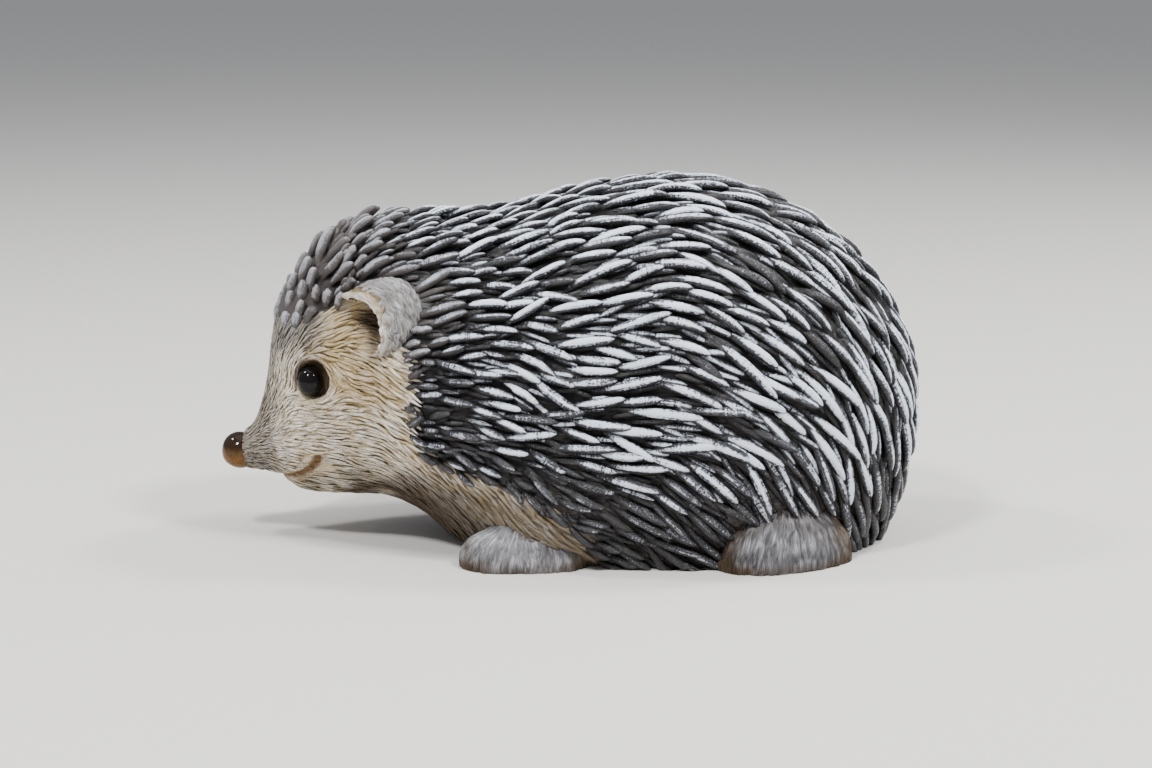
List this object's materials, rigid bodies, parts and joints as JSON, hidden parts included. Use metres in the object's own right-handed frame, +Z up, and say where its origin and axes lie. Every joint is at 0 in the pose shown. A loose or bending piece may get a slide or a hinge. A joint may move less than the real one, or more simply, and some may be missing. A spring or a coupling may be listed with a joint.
{
  "type": "cast-resin hedgehog ornament",
  "caption": "Painted cast-resin hedgehog ornament standing low on a flat base, with a carved quilled back, cream face, upright ears and glossy bead eyes.",
  "frame": {"origin": "centre of the overall box, on the floor under the belly", "axes": "+Z is up, -X is the way the nose points, +X runs to the rump, -Y is the animal's left side"},
  "size_m": [0.2121, 0.112, 0.111],
  "materials": {
    "quill_paint": "painted resin, white dry brush over dark varnish",
    "fur_paint": "painted resin, cream with an ochre wash, matt",
    "paw_paint": "painted resin, pale grey with a brown wash, satin",
    "nose_gloss": "gloss varnish over dark brown",
    "eye_gloss": "high gloss bead"
  },
  "bodies": {
    "root": {"trunk": "quill_paint", "crown": "quill_paint", "head": "fur_paint", "lower_jaw": "fur_paint", "chest": "fur_paint", "nose": "nose_gloss", "eye_left": "eye_gloss", "eye_right": "eye_gloss", "ear_left": "fur_paint", "ear_right": "fur_paint", "foreleg_left": "paw_paint", "foreleg_right": "paw_paint", "hindleg_left": "paw_paint", "hindleg_right": "paw_paint"}
  },
  "joints": []
}
